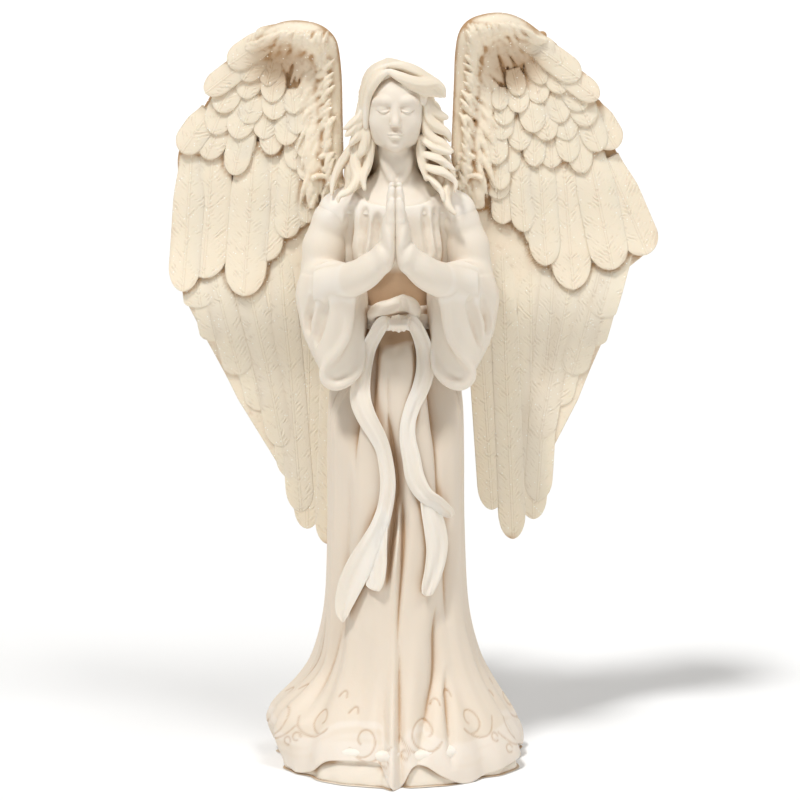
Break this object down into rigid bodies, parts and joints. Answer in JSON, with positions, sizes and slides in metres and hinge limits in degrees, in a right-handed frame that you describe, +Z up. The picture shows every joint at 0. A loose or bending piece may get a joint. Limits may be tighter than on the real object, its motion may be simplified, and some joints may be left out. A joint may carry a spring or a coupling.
{
  "type": "angel figurine",
  "caption": "Cast resin standing angel in a long gown with praying hands, loose sash and tall feathered wings, on a flat felt-covered base.",
  "frame": {"origin": "centre of the felt face that the figurine stands on", "axes": "+Z up along the figure, -Y towards the viewer in front of the face, +X to the viewer's right"},
  "size_m": [0.1927, 0.0946, 0.3],
  "materials": {
    "body_resin": "matte ivory cast resin",
    "hair_resin": "matte ivory cast resin with a tan wash in the grooves",
    "wing_resin": "matte cream cast resin with a tan wash and fine glitter",
    "pin_steel": "drawn steel",
    "felt": "pressed felt"
  },
  "bodies": {
    "root": {"felt_pad": "felt", "plinth": "body_resin", "skirt": "body_resin", "waist_dowel": "pin_steel", "bodice": "body_resin", "blouse_fold": "body_resin", "sash_knot": "body_resin", "sash_tail_left": "body_resin", "sash_tail_right": "body_resin", "sleeve_left": "body_resin", "sleeve_right": "body_resin", "hand_left": "body_resin", "hand_right": "body_resin", "neck_pin": "pin_steel", "head": "body_resin", "hair_crown": "hair_resin", "hair_lock_left": "hair_resin", "hair_lock_right": "hair_resin", "wing_left": "wing_resin", "wing_right": "wing_resin", "wing_pins": "pin_steel"}
  },
  "joints": []
}
